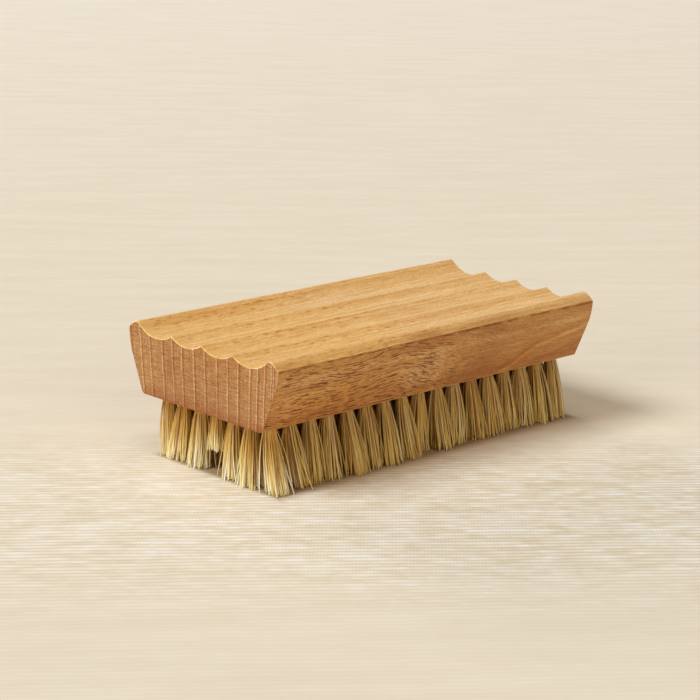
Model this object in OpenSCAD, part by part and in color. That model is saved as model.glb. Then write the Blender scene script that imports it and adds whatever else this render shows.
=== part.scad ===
// Wooden nail brush. A one-piece beech block has long flutes in its top and blind holes in its
// underside. Each hole holds a tuft of bristles, folded double over a flat wire anchor whose ends
// bite into the wood. The brush stands on its bristle tips: z is zero there, x runs along the
// flutes, y runs across them, and the block is centred over the origin.

/* [Block] */
// Length of the block, along its flutes
block_l = 95; // [80:1:120]
// Width of the block at its widest line, the crease under the bevels
block_w = 46; // [42:0.5:56]
// Thickness of the block, from its underside to the lands of its top
block_t = 15.1; // [13.5:0.1:20]
// Lean of the lower sides from upright, in degrees
side_lean = 23; // [10:1:28]
// Radius of the belly of the sides, just under the crease
side_r = 14; // [10:0.5:16]
// Rounding of the two long edges of the underside
foot_r = 0.9; // [0.5:0.1:1.3]

/* [Bevels] */
// Width of the long top bevels, seen from above
bevel_w = 2.3; // [1.5:0.1:3.5]
// Height of the long top bevels, seen from the end
bevel_h = 1.6; // [1:0.1:2.5]
// Radius of the crown of the bevels
bevel_r = 6; // [5:0.5:12]

/* [Flutes] */
// Number of flutes side by side in the top
flute_count = 4; // [3:1:5]
// Radius of the round cutter that makes a flute
flute_r = 8.4; // [7.5:0.1:10]
// Depth of a flute below the lands
flute_depth = 2.45; // [1.5:0.05:3]
// Width of the flat land left outside the outer flutes
land_w = 0.65; // [0.3:0.05:1.5]

/* [Tuft grid] */
// Number of tuft columns along the block
tuft_cols = 17; // [13:1:19]
// Number of tufts in a column, across the block
tuft_rows = 7; // [5:1:8]
// Distance from an end face to the hole centres of the nearest column
end_margin = 4.85; // [4:0.05:8]
// Distance from an edge of the underside to the hole centres of the outer rows
side_margin = 3; // [2.8:0.1:5]
// Outward lean of the outer rows, in degrees; the rows between fan evenly
outer_row_lean = 9; // [0:0.5:12]
// Outward lean of the two end columns, in degrees; the columns between fan evenly
end_column_lean = 2; // [0:0.5:5]

/* [Bristles] */
// Free length of the bristles, from the underside of the block to the flat-cut tips
bristle_l = 13.4; // [8:0.2:18]
// Gap left between neighbouring tufts at their tips
tip_gap = 0.8; // [0.4:0.05:1.4]
// How much shorter the middle tuft of the first column is than the rest
short_tuft_rise = 4.6; // [0:0.1:6]

/* [Holes and anchors] */
// Diameter of a tuft hole
hole_d = 2.8; // [2.2:0.1:3.1]
// Depth of a tuft hole
hole_depth = 8; // [6:0.5:9]
// Thickness of the flat anchor wire
anchor_t = 0.35; // [0.2:0.05:0.5]
// Width of the flat anchor wire, along the hole
anchor_w = 2; // [1.5:0.1:2.5]
// How far each end of an anchor bites into the wall of its hole
anchor_bite = 0.25; // [0.1:0.05:0.4]
// Sheared corner of an anchor at its leading edge, along the hole
anchor_lead = 0.5; // [0.2:0.1:1]
// Thickness of the bristle fold between an anchor and the end of its hole
fold_t = 0.8; // [0.5:0.1:1.2]

/* [Fit] */
// Thickness of the slice of backing that the bristles of a column are fused to
slice_t = 0.8; // [0.6:0.1:1.2]
// Width of that slice outside the tuft holes
slice_margin = 0.4; // [0.2:0.1:0.6]
// Clearance all round a plug, a slice or an anchor
fit_gap = 0.05; // [0.02:0.01:0.1]

/* [Hidden] */
$fn = 64;
overrun = 1;

// Heights of the block above the bristle tips
under_z = bristle_l;
top_z = under_z + block_t;
crease_z = top_z - bevel_h;

// Half profile of the block: where the straight side meets the belly, and the underside's edge
crease_y = block_w / 2;
belly_z = crease_z - side_r * sin(side_lean);
belly_y = crease_y - side_r * (1 - cos(side_lean));
edge_y = belly_y - (belly_z - under_z) * tan(side_lean);
foot_y = edge_y + foot_r * (tan(side_lean) - 1 / cos(side_lean));
foot_z = under_z + foot_r;
land_y = crease_y - bevel_w;

// Centre of the crown of a bevel: on the bisector of its chord, towards the middle of the block
bevel_chord = norm([bevel_w, bevel_h]);
bevel_reach = sqrt(pow(bevel_r, 2) - pow(bevel_chord / 2, 2));
crown_y = (crease_y + land_y) / 2 - bevel_reach * bevel_h / bevel_chord;
crown_z = (crease_z + top_z) / 2 - bevel_reach * bevel_w / bevel_chord;

// The outer flutes end at the lands, and the flutes between are spaced evenly
flute_half_w = sqrt(2 * flute_r * flute_depth - pow(flute_depth, 2));
flute_out = land_y - land_w - flute_half_w;
flute_pitch = 2 * flute_out / (flute_count - 1);
flute_z = top_z - flute_depth + flute_r;

// The tuft grid on the underside
hole_out_x = block_l / 2 - end_margin;
hole_out_y = edge_y - side_margin;
col_pitch = 2 * hole_out_x / (tuft_cols - 1);
row_pitch = 2 * hole_out_y / (tuft_rows - 1);
short_row = floor(tuft_rows / 2);

// A tuft holds four square strands, one on each side of its axis, as shares of its width
strand_sides = [[1, 0], [0, 1], [-1, 0], [0, -1]];
corner_shares = [[-0.5, -0.5], [0.5, -0.5], [0.5, 0.5], [-0.5, 0.5]];
root_thick_share = 0.26;
root_place_share = 0.29;
tip_thick_share = 0.31;
tip_place_share = 0.345;
tuft_tip_d = min(col_pitch, row_pitch) - tip_gap;

// The slice and the plugs that fill the holes
slice_w = hole_d + 2 * slice_margin;
slice_l = 2 * hole_out_y + slice_w;
plug_d = hole_d - 2 * fit_gap;
anchor_l = hole_d + 2 * anchor_bite;
anchor_top = hole_depth - fold_t;

function hole_x(c) = c * col_pitch - hole_out_x;
function hole_y(r) = r * row_pitch - hole_out_y;
function lean_x(c) = end_column_lean * hole_x(c) / hole_out_x;
function lean_y(r) = outer_row_lean * hole_y(r) / hole_out_y;

// Point on the axis of a tuft at a distance below the underside
function axis_point(c, r, below) = [
    hole_x(c) + below * tan(lean_x(c)),
    hole_y(r) + below * tan(lean_y(r)),
    under_z - below
];

function two_digits(n) = str(n < 10 ? "0" : "", n);
function tuft_name(c) = str("tuft_column_", two_digits(c + 1));
function anchor_name(c) = str("anchor_column_", two_digits(c + 1));

// Right half of the block's cross-section, with y across and z up
module half_profile() {
    polygon([
        [0, under_z],
        [foot_y, under_z],
        [foot_y + foot_r * cos(side_lean), foot_z - foot_r * sin(side_lean)],
        [belly_y, belly_z],
        [crease_y, crease_z],
        [land_y, top_z],
        [0, top_z]
    ]);
    translate([foot_y, foot_z]) circle(r = foot_r);
    intersection() {
        translate([crease_y - side_r, crease_z]) circle(r = side_r);
        translate([crease_y - side_r, belly_z]) square([side_r, crease_z - belly_z]);
    }
    intersection() {
        translate([crown_y, crown_z]) circle(r = bevel_r);
        translate([crown_y, crease_z]) square([bevel_r, bevel_h]);
    }
}

// The block before its flutes and holes are cut
module blank() {
    rotate([90, 0, 90]) linear_extrude(block_l, center = true) {
        half_profile();
        mirror([1, 0]) half_profile();
    }
}

module flute(n) {
    translate([0, n * flute_pitch - flute_out, flute_z])
        rotate([0, 90, 0]) cylinder(h = block_l + 2 * overrun, r = flute_r, center = true);
}

// Puts its children in the frame of a hole: origin in the underside, z along the hole, inward
module at_hole(c, r) {
    translate([hole_x(c), hole_y(r), under_z]) rotate([lean_y(r), -lean_x(c), 0]) children();
}

// A flat wire anchor across its hole, or with a gap, the space that it takes
module anchor(gap = 0) {
    half_l = anchor_l / 2 + gap;
    top = anchor_top + gap;
    bottom = anchor_top - anchor_w - gap;
    rotate([90, 0, 90]) linear_extrude(anchor_t + 2 * gap, center = true)
        polygon([
            [-half_l, bottom],
            [half_l, bottom],
            [half_l, top - anchor_lead],
            [half_l - anchor_lead, top],
            [anchor_lead - half_l, top],
            [-half_l, top - anchor_lead]
        ]);
}

module hole() {
    translate([0, 0, -overrun]) cylinder(h = hole_depth + overrun, d = hole_d);
    anchor(fit_gap);
}

// The shallow seat that the slice of a column is let into, and the slice itself
module slice_box(c, gap, depth, below) {
    translate([hole_x(c), 0, under_z + (depth - below) / 2])
        cube([slice_w + 2 * gap, slice_l + 2 * gap, depth + below], center = true);
}

// The folded end of a tuft, packed into its hole round the anchor
module plug() {
    difference() {
        translate([0, 0, slice_t / 2]) cylinder(h = hole_depth - fit_gap - slice_t / 2, d = plug_d);
        anchor(fit_gap);
    }
}

// A four-sided strand between two level squares
module strand(tip, root, tip_thick, root_thick) {
    polyhedron(
        points = concat(
            [for (s = corner_shares) tip + tip_thick * [s.x, s.y, 0]],
            [for (s = corner_shares) root + root_thick * [s.x, s.y, 0]]
        ),
        faces = concat(
            [[0, 1, 2], [0, 2, 3], [4, 6, 5], [4, 7, 6]],
            [for (i = [0:3]) [i, i + 4, (i + 1) % 4 + 4]],
            [for (i = [0:3]) [i, (i + 1) % 4 + 4, (i + 1) % 4]]
        )
    );
}

// The free part of a tuft: four strands that spread from the hole to the flat-cut tips
module tuft_brush(c, r) {
    reach = bristle_l - (c == 0 && r == short_row ? short_tuft_rise : 0);
    spread = reach / bristle_l;
    tip_thick = hole_d * root_thick_share * (1 - spread) + tuft_tip_d * tip_thick_share * spread;
    tip_place = hole_d * root_place_share * (1 - spread) + tuft_tip_d * tip_place_share * spread;
    for (s = strand_sides)
        strand(
            axis_point(c, r, reach) + tip_place * [s.x, s.y, 0],
            axis_point(c, r, -slice_t / 2) + hole_d * root_place_share * [s.x, s.y, 0],
            tip_thick,
            hole_d * root_thick_share
        );
}

module block() {
    color("#c8935f")
        difference() {
            blank();
            for (n = [0:flute_count - 1]) flute(n);
            for (c = [0:tuft_cols - 1]) {
                slice_box(c, fit_gap, slice_t + fit_gap, overrun);
                for (r = [0:tuft_rows - 1]) at_hole(c, r) hole();
            }
        }
}

module tuft_column(c) {
    color("#d8c193") {
        slice_box(c, 0, slice_t, 0);
        for (r = [0:tuft_rows - 1]) {
            at_hole(c, r) plug();
            tuft_brush(c, r);
        }
    }
}

module anchor_column(c) {
    color("#b8a05c")
        for (r = [0:tuft_rows - 1]) at_hole(c, r) anchor();
}

block();
for (c = [0:tuft_cols - 1]) {
    tuft_column(c);
    anchor_column(c);
}
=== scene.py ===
"""Nail brush: a fluted beech block filled with 119 tufts of natural bristle, on a plain pale floor.

Every length is in metres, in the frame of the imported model: x runs along the flutes, y across
them, and z up from the plane of the bristle tips, which the brush stands on.
"""

import logging
import math
from contextlib import contextmanager
from dataclasses import dataclass, field
from enum import Enum
from functools import partial, reduce
from typing import Callable, Iterator, Sequence

import bmesh
import bpy
import numpy as np
from mathutils import Matrix, Vector


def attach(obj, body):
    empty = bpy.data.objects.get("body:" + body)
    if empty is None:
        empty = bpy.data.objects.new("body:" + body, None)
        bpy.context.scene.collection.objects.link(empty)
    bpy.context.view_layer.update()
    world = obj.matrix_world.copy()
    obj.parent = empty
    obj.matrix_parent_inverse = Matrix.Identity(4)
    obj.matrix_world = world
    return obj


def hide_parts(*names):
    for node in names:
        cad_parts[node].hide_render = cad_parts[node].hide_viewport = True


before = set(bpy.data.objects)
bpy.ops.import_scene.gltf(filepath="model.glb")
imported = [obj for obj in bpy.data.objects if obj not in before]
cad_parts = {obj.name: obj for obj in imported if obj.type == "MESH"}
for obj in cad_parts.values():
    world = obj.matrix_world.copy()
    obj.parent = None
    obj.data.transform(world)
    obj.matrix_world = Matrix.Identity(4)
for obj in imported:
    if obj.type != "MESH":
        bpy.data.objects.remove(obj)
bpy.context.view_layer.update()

LOG = logging.getLogger("nail_brush")
MM = 0.001
SCRATCH_UV = "OFBake"

Colour = tuple[float, float, float]
Span = tuple[float, float]
Ramp = tuple[tuple[float, Colour], ...]
Socket = bpy.types.NodeSocket
Feed = Socket | float | Sequence[float]

PLAIN: Colour = (1.0, 1.0, 1.0)
MIX_INPUTS = (0, 6, 7)
MIX_OUTPUT = 2


class Pick(Enum):
    """What an operator in edit mode acts on."""

    POINTS = ("VERT", "verts")
    EDGES = ("EDGE", "edges")
    FACES = ("FACE", "faces")


class Blend(Enum):
    """How one colour is laid over another."""

    OVER = "MIX"
    STAIN = "MULTIPLY"


class Bench:
    """One mesh on the bench, shaped with the operators that a modeller uses by hand."""

    def __init__(self, piece: bpy.types.Object) -> None:
        """Keep the piece that is worked on."""
        self.piece = piece

    @classmethod
    def take_new(cls, name: str) -> "Bench":
        """Put the primitive that was just added on the bench.

        Args:
            name: the name of the piece.

        Returns:
            The bench, with the primitive's place and size applied to its mesh.
        """
        piece = bpy.context.active_object
        piece.name = name
        piece.data.name = name
        bench = cls(piece)
        bench.hold()
        bpy.ops.object.transform_apply(location=True, rotation=True, scale=True)
        return bench

    def hold(self) -> None:
        """Select this piece alone, and make it the active one."""
        bpy.ops.object.select_all(action="DESELECT")
        self.piece.select_set(True)
        bpy.context.view_layer.objects.active = self.piece

    @contextmanager
    def editing(self) -> Iterator[None]:
        """Stay in edit mode for the length of a with block.

        Returns:
            The context of the with block.
        """
        self.hold()
        bpy.ops.object.mode_set(mode="EDIT")
        yield
        bpy.ops.object.mode_set(mode="OBJECT")

    def pick(self, kind: Pick, wanted: Callable[..., bool]) -> None:
        """Select, in edit mode, only the points, edges or faces that pass a test.

        Args:
            kind: what is selected.
            wanted: the test, given one point, edge or face.
        """
        mode, sequence = kind.value
        bpy.ops.mesh.select_mode(type=mode)
        bpy.ops.mesh.select_all(action="DESELECT")
        mesh = bmesh.from_edit_mesh(self.piece.data)
        for part in [part for part in getattr(mesh, sequence) if wanted(part)]:
            part.select_set(True)
        mesh.select_flush_mode()
        bmesh.update_edit_mesh(self.piece.data)

    def apply(self, modifier: bpy.types.Modifier) -> None:
        """Apply one of the piece's modifiers."""
        self.hold()
        bpy.ops.object.modifier_apply(modifier=modifier.name)

    def cut(self, cutter: bpy.types.Object) -> None:
        """Take a cutter's shape out of the piece, and put the cutter away.

        Args:
            cutter: the closed shape to cut with. It is removed.
        """
        saw = self.piece.modifiers.new("cut", "BOOLEAN")
        saw.operation = "DIFFERENCE"
        saw.solver = "EXACT"
        saw.object = cutter
        self.apply(saw)
        bpy.data.meshes.remove(cutter.data)


@dataclass(frozen=True)
class Pattern:
    """A soft random pattern.

    It holds the size of a lump in millimetres, how many finer layers it has and how strong they
    are, the values between which its patches rise from 0 to 1, and how far it shifts a thing.
    """

    size: tuple[float, float, float]
    detail: float = 2.0
    rough: float = 0.5
    rises: Span = (0.0, 1.0)
    by: float = 1.0


@dataclass(frozen=True)
class Streak:
    """A random pattern drawn out along the grain.

    It holds the units in a millimetre along and across the grain, the finer layers and their
    strength, how steeply it falls along the sides, and the values between which it rises.
    """

    along: float
    across: float
    detail: float = 2.0
    rough: float = 0.5
    slant: float = 0.0
    rises: Span = (0.0, 1.0)


@dataclass(frozen=True)
class Spots:
    """Spots scattered over cells, one to a cell.

    It holds the cells in a millimetre along and up, the radii where a spot is full and where it
    ends, in cells, the share of the spots left out, the strength of the strongest, how much past
    that share a spot is at full strength, how far the spots stray from even rows, and where the
    border round a spot ends and where it is full, in times the outer radius.
    """

    along: float
    up: float
    inner: float
    outer: float
    few: float
    strength: float = 1.0
    spread: float = 0.5
    jitter: float = 0.85
    border: Span = (2.4, 1.4)


class Recipe:
    """The node tree of one finish, written a node at a time."""

    def __init__(self, name: str) -> None:
        """Start a finish with a plain Principled shader."""
        self.material = bpy.data.materials.new(name)
        self.material.use_nodes = True
        self.tree = self.material.node_tree
        self.shader = self.tree.nodes["Principled BSDF"]
        self.places = self.node("ShaderNodeTexCoord")

    def node(self, kind: str, **settings: object) -> bpy.types.Node:
        """Add a node.

        Args:
            kind: Blender's name for the node type.
            settings: properties to set on it.

        Returns:
            The node.
        """
        made = self.tree.nodes.new(kind)
        for name, value in settings.items():
            setattr(made, name, value)
        return made

    def feed(self, socket: Socket, value: Feed) -> None:
        """Link a socket, or write a plain value on it.

        Args:
            socket: the input to fill.
            value: another node's output, a number, or a colour or vector.
        """
        if isinstance(value, bpy.types.NodeSocket):
            self.tree.links.new(value, socket)
        elif isinstance(value, (int, float)):
            socket.default_value = value
        else:
            short = len(socket.default_value) - len(value)
            socket.default_value = (*value, *(1.0,) * short)

    def maths(self, operation: str, *terms: Feed, clamp: bool = False) -> Socket:
        """Work out a number.

        Args:
            operation: Blender's name for the operation.
            terms: its numbers, in order.
            clamp: whether the result is kept between 0 and 1.

        Returns:
            The result.
        """
        made = self.node("ShaderNodeMath", operation=operation, use_clamp=clamp)
        for socket, term in zip(made.inputs, terms):
            self.feed(socket, term)
        return made.outputs["Value"]

    def total(self, *terms: Feed) -> Socket:
        """Add two numbers or more."""
        return reduce(partial(self.maths, "ADD"), terms)

    def less(self, value: Feed, taken: Feed) -> Socket:
        """Take one number from another."""
        return self.maths("SUBTRACT", value, taken)

    def product(self, *terms: Feed) -> Socket:
        """Multiply two numbers or more."""
        return reduce(partial(self.maths, "MULTIPLY"), terms)

    def highest(self, *terms: Feed) -> Socket:
        """Take the highest of two numbers or more."""
        return reduce(partial(self.maths, "MAXIMUM"), terms)

    def size(self, value: Feed) -> Socket:
        """Leave out a number's sign."""
        return self.maths("ABSOLUTE", value)

    def rest(self, share: Feed) -> Socket:
        """Work out what a share leaves of the whole."""
        return self.maths("SUBTRACT", 1.0, share, clamp=True)

    def grow(self, share: Feed, base: float, more: float) -> Socket:
        """Work out a base amount, and more of it where a share is high."""
        return self.total(self.product(share, more), base)

    def in_mm(
        self,
        unit: Sequence[float] = (1.0, 1.0, 1.0),
        centre: Sequence[float] = (0.0, 0.0, 0.0),
        turn: float = 0.0,
    ) -> Socket:
        """Read the place on the piece.

        Args:
            unit: how many millimetres a pattern unit is long, along x, y and z.
            centre: where the pattern has its middle, in millimetres.
            turn: turn of the pattern about z, in radians.

        Returns:
            The place, in pattern units.
        """
        made = self.node("ShaderNodeMapping", vector_type="TEXTURE")
        self.feed(made.inputs["Vector"], self.places.outputs["Object"])
        self.feed(made.inputs["Location"], [length * MM for length in centre])
        self.feed(made.inputs["Rotation"], (0.0, 0.0, turn))
        self.feed(made.inputs["Scale"], [length * MM for length in unit])
        return made.outputs["Vector"]

    def split(self, vector: Socket) -> tuple[Socket, Socket, Socket]:
        """Part a vector into its three numbers.

        Args:
            vector: the vector.

        Returns:
            Its x, y and z.
        """
        made = self.node("ShaderNodeSeparateXYZ")
        self.feed(made.inputs["Vector"], vector)
        return made.outputs["X"], made.outputs["Y"], made.outputs["Z"]

    def join(self, x: Feed, y: Feed, z: Feed) -> Socket:
        """Put three numbers together.

        Args:
            x: the first number.
            y: the second number.
            z: the third number.

        Returns:
            The vector.
        """
        made = self.node("ShaderNodeCombineXYZ")
        for socket, value in zip(made.inputs, (x, y, z)):
            self.feed(socket, value)
        return made.outputs["Vector"]

    def noise(self, place: Socket, detail: float, rough: float) -> Socket:
        """Read a soft random pattern.

        Args:
            place: where it is read, in lumps.
            detail: how many finer layers it has.
            rough: how strong the finer layers are.

        Returns:
            A number around 0.5.
        """
        made = self.node("ShaderNodeTexNoise")
        self.feed(made.inputs["Vector"], place)
        self.feed(made.inputs["Scale"], 1.0)
        self.feed(made.inputs["Detail"], detail)
        self.feed(made.inputs["Roughness"], rough)
        return made.outputs["Fac"]

    def read(self, pattern: Pattern, turn: float = 0.0) -> Socket:
        """Read a pattern, turned about z, as a number around 0.5."""
        return self.noise(self.in_mm(pattern.size, turn=turn), pattern.detail, pattern.rough)

    def patches(self, pattern: Pattern) -> Socket:
        """Read a pattern as soft patches: 0 outside them, and 1 in them."""
        return self.rise(self.read(pattern), *pattern.rises)

    def waver(self, pattern: Pattern) -> Socket:
        """Read a pattern as a shift to either side of 0."""
        return self.product(self.less(self.read(pattern), 0.5), pattern.by)

    def rise(self, value: Feed, low: float, high: float) -> Socket:
        """Go softly from 0 to 1 as a value goes from low to high.

        Args:
            value: the value that is read.
            low: where the result is 0. Above high, the rise is towards lower values.
            high: where it is 1.

        Returns:
            A number from 0 to 1.
        """
        made = self.node("ShaderNodeMapRange", interpolation_type="SMOOTHSTEP")
        first, last, start, end = (low, high, 0.0, 1.0) if low < high else (high, low, 1.0, 0.0)
        self.feed(made.inputs["Value"], value)
        for name, number in (("From Min", first), ("From Max", last), ("To Min", start), ("To Max", end)):
            self.feed(made.inputs[name], number)
        return made.outputs["Result"]

    def curve(self, value: Feed, low: float, high: float, points: Sequence[Span]) -> Socket:
        """Follow straight lines between points.

        Args:
            value: the value that is read.
            low: the lowest value that the curve covers.
            high: the highest one.
            points: value and result of each point, in order; the results are from 0 to 1.

        Returns:
            The result.
        """
        share = self.maths("DIVIDE", self.less(value, low), high - low, clamp=True)
        made = self.node("ShaderNodeFloatCurve")
        self.feed(made.inputs["Value"], share)
        line = made.mapping.curves[0]
        spots = [((at - low) / (high - low), result) for at, result in points]
        line.points[0].location, line.points[1].location = spots[0], spots[-1]
        for spot in spots[1:-1]:
            line.points.new(*spot)
        for point in line.points:
            point.handle_type = "VECTOR"
        made.mapping.update()
        return made.outputs["Value"]

    def ramp(self, value: Feed, stops: Ramp) -> Socket:
        """Turn a number into a colour.

        Args:
            value: the number, from 0 to 1.
            stops: place and colour of each stop, in order.

        Returns:
            The colour.
        """
        made = self.node("ShaderNodeValToRGB")
        self.feed(made.inputs["Fac"], value)
        bar = made.color_ramp
        while len(bar.elements) < len(stops):
            bar.elements.new(1.0)
        for element, (at, colour) in zip(bar.elements, stops):
            element.position = at
            element.color = (*colour, 1.0)
        return made.outputs["Color"]

    def mix(self, share: Feed, under: Feed, over: Feed, blend: Blend = Blend.OVER) -> Socket:
        """Lay one colour over another.

        Args:
            share: how much of the upper colour shows, from 0 to 1.
            under: the lower colour.
            over: the upper colour.
            blend: how it is laid.

        Returns:
            The mixed colour.
        """
        made = self.node("ShaderNodeMix", data_type="RGBA", blend_type=blend.value)
        for number, value in zip(MIX_INPUTS, (share, under, over)):
            self.feed(made.inputs[number], value)
        return made.outputs[MIX_OUTPUT]

    def stain(self, share: Feed, colour: Feed, stain: Feed) -> Socket:
        """Multiply a colour by a stain, as much as the share says."""
        return self.mix(share, colour, stain, Blend.STAIN)

    def patch(self, centre: Sequence[float], reach: Sequence[float]) -> Socket:
        """Mark a soft round patch.

        Args:
            centre: the middle of the patch, in millimetres.
            reach: how far it reaches along x, y and z.

        Returns:
            1 in its middle, and 0 from its edge on.
        """
        far = self.node("ShaderNodeVectorMath", operation="LENGTH")
        self.feed(far.inputs[0], self.in_mm(reach, centre))
        return self.rise(far.outputs["Value"], 1.0, 0.0)

    def speckle(self, x: Socket, z: Socket, spots: Spots) -> tuple[Socket, Socket]:
        """Scatter spots over a plane, each with a strength of its own.

        Args:
            x: place in the plane, in millimetres.
            z: place in the other direction.
            spots: how many and how large the spots are.

        Returns:
            The spots, and the spots with a border round them: 0 outside, and up to 1 in them.
        """
        cells = self.node("ShaderNodeTexVoronoi", voronoi_dimensions="2D", feature="F1")
        place = self.join(self.product(x, spots.along), self.product(z, spots.up), 0.0)
        self.feed(cells.inputs["Vector"], place)
        self.feed(cells.inputs["Scale"], 1.0)
        self.feed(cells.inputs["Randomness"], spots.jitter)
        chance, _, _ = self.split(cells.outputs["Color"])
        strength = self.rise(chance, spots.few, min(spots.few + spots.spread, 1.0))
        strength = self.product(strength, spots.strength)
        edges = ((spots.outer, spots.inner), [spots.outer * times for times in spots.border])
        far = cells.outputs["Distance"]
        spot, border = (self.product(self.rise(far, *edge), strength) for edge in edges)
        return spot, border

    def attribute(self, name: str) -> Socket:
        """Read a number kept on the mesh.

        Args:
            name: the attribute's name.

        Returns:
            The number.
        """
        made = self.node("ShaderNodeAttribute", attribute_type="GEOMETRY", attribute_name=name)
        return made.outputs["Fac"]

    def finish(
        self,
        colour: Socket,
        rough: Feed,
        specular: float,
        height: Socket | None = None,
        relief: float = 0.0,
    ) -> bpy.types.Material:
        """Wire the colour, the sheen and the fine relief to the shader.

        Args:
            colour: the base colour.
            rough: the roughness.
            specular: the strength of the sheen.
            height: the relief, from 0 to 1, or None for a smooth surface.
            relief: how high that relief stands, in metres.

        Returns:
            The material.
        """
        self.feed(self.shader.inputs["Base Color"], colour)
        self.feed(self.shader.inputs["Roughness"], rough)
        self.feed(self.shader.inputs["Specular IOR Level"], specular)
        if height is not None:
            bump = self.node("ShaderNodeBump")
            self.feed(bump.inputs["Distance"], relief)
            self.feed(bump.inputs["Height"], height)
            self.feed(self.shader.inputs["Normal"], bump.outputs["Normal"])
        return self.material


@dataclass(frozen=True)
class Blotch:
    """A soft local patch that darkens or lightens the wood: its middle and its reach in millimetres, and
    its colour.
    """

    centre: tuple[float, float, float]
    reach: tuple[float, float, float]
    stain: Colour


@dataclass(frozen=True)
class WoodSpot:
    """What the finish knows of a point of the wood.

    It holds the place in millimetres, how the grain wanders there and how high the point is in the
    wavy grain, how far it belongs to the ends, the long sides and the worn rims, from 0 to 1, and
    how steeply the surface leans across the block.
    """

    x: Socket
    y: Socket
    z: Socket
    wander: Socket
    wave: Socket
    ends: Socket
    sides: Socket
    worn: Socket
    slope: Socket


@dataclass(frozen=True)
class Beech:
    """Oiled beech, sawn so that its growth rings stand upright and run along the block.

    The ring lines are listed by their y in millimetres, halfway up the near end. Each is a thin
    pale line with a darker one on its -y side. The rays are thin ribbons across the rings: dark
    dashes and longer strokes on the long sides, flecks on the flanks of the flutes, fine lines on
    the ends. A field that ends in reach or facing holds where a thing starts and where it is full,
    in millimetres or as a part of the surface normal. One that ends in show holds how much of a
    thing shows: alone, its share; as a pair, the least share and how much it grows.
    """

    golden: Colour = (0.89, 0.538, 0.197)
    pale: Colour = (0.88, 0.552, 0.229)
    golden_reach: Span = (-18.0, 10.0)
    border_slant: float = 0.4
    border_wander: float = 30.0
    # Painted shade on the sloping walls of the flutes, by how steeply they lean.
    flank_shade: Colour = (0.90, 0.84, 0.71)
    flank_shade_facing: Span = (0.1, 0.6)
    # Painted shade on the bevel along the near long side.
    bevel: Colour = (0.855, 0.775, 0.70)
    bevel_shade_reach: Span = (-20.4, -22.9)
    side: Colour = (0.635, 0.291, 0.071)
    side_pale: Colour = (0.69, 0.343, 0.095)
    side_facing: Span = (0.74, 0.9)
    figure: Pattern = Pattern((11.0, 10.0, 4.0), 3.0, rises=(0.35, 0.7))
    # Painted shade, darker towards the bottom of the long sides.
    foot: Colour = (0.80, 0.64, 0.50)
    foot_shade_reach: Span = (20.0, 13.0)
    end: Colour = (0.462, 0.208, 0.060)
    end_facing: Span = (0.8, 0.97)
    end_rim_reach: Span = (26.6, 25.2)
    worn_facing: Span = (0.2, 0.5)

    wander: Pattern = Pattern((20.0, 12.0, 9.0), 1.5)
    wander_up: float = 3.4
    waver: Pattern = Pattern((3.5, 4.0, 3.0), 1.0, by=0.4)
    tilt: Span = (0.15, 0.06)
    tilt_reach: Span = (-12.0, 2.0)

    grain: Streak = Streak(0.15, 2.9, 4.0, 0.62)
    grain_tones: Ramp = (
        (0.28, (0.80, 0.66, 0.46)),
        (0.46, (0.98, 0.96, 0.92)),
        (0.54, (1.02, 1.04, 1.08)),
        (0.72, (1.08, 1.20, 1.42)),
    )
    grain_show: Span = (0.3, 0.62)
    broad: Streak = Streak(0.028, 0.62)
    broad_tones: Ramp = ((0.32, (0.90, 0.82, 0.72)), (0.5, PLAIN), (0.68, (1.06, 1.12, 1.2)))
    broad_show: float = 0.5
    fine: Streak = Streak(0.8, 6.4, rough=0.6, slant=0.3)
    fine_tones: Ramp = (
        (0.34, (0.74, 0.62, 0.46)),
        (0.47, (0.97, 0.95, 0.92)),
        (0.54, (1.02, 1.04, 1.08)),
        (0.66, (1.12, 1.28, 1.70)),
    )
    fine_show: Span = (0.2, 0.4)
    calm_reach: Span = (8.0, 34.0)
    calm_show: float = 0.65
    pores: Pattern = Pattern((0.75, 0.17, 0.18), 3.0, 0.7)
    pore_tones: Ramp = (
        (0.36, (0.64, 0.45, 0.28)),
        (0.47, (0.96, 0.94, 0.90)),
        (0.54, PLAIN),
        (0.64, (1.24, 1.56, 2.3)),
    )
    pore_show: Span = (0.4, 0.6)
    posts: Pattern = Pattern((3.0, 0.30, 8.0), rough=0.6)
    post_tones: Ramp = (
        (0.36, (0.80, 0.60, 0.42)),
        (0.48, (0.99, 0.98, 0.96)),
        (0.54, (1.02, 1.04, 1.08)),
        (0.64, (1.12, 1.30, 1.62)),
    )
    post_show: float = 0.45
    lines: Pattern = Pattern((3.0, 3.2, 0.14), 2.5, 0.6)
    line_tones: Ramp = (
        (0.36, (0.66, 0.48, 0.32)),
        (0.5, (0.99, 0.98, 0.96)),
        (0.64, (1.16, 1.36, 1.80)),
    )
    line_show: float = 0.85

    rings: tuple[float, ...] = (
        25.0, 22.2, 18.9, 16.0, 12.05, 8.85, 5.9, 2.25, -1.1, -4.75, -8.0, -11.15, -14.65,
        -16.8, -18.85, -20.8, -21.5, -22.3, -25.0,
    )
    ring_pale: Colour = (1.36, 1.84, 2.5)
    ring_dark: Colour = (0.74, 0.48, 0.34)
    ring_tones: Ramp = (
        (0.0, ring_pale), (0.07, ring_pale), (0.12, ring_dark), (0.19, ring_dark),
        (0.30, PLAIN), (0.97, PLAIN), (1.0, ring_pale),
    )
    ring_width: float = 0.8
    ring_width_of_year: float = 0.6
    ring_turn: float = 0.25
    ring_tilt: float = 0.0037
    ring_middle: float = 21.0
    ring_pivot: float = -14.0
    ring_wobble: Pattern = Pattern((40.0, 18.0, 2.6), 3.0, by=0.5)
    ring_show: Span = (0.2, 0.8)
    years: Pattern = Pattern((90.0, 3.4, 60.0), 1.0, rises=(0.38, 0.62))
    year_show: Span = (0.7, 0.3)

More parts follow.
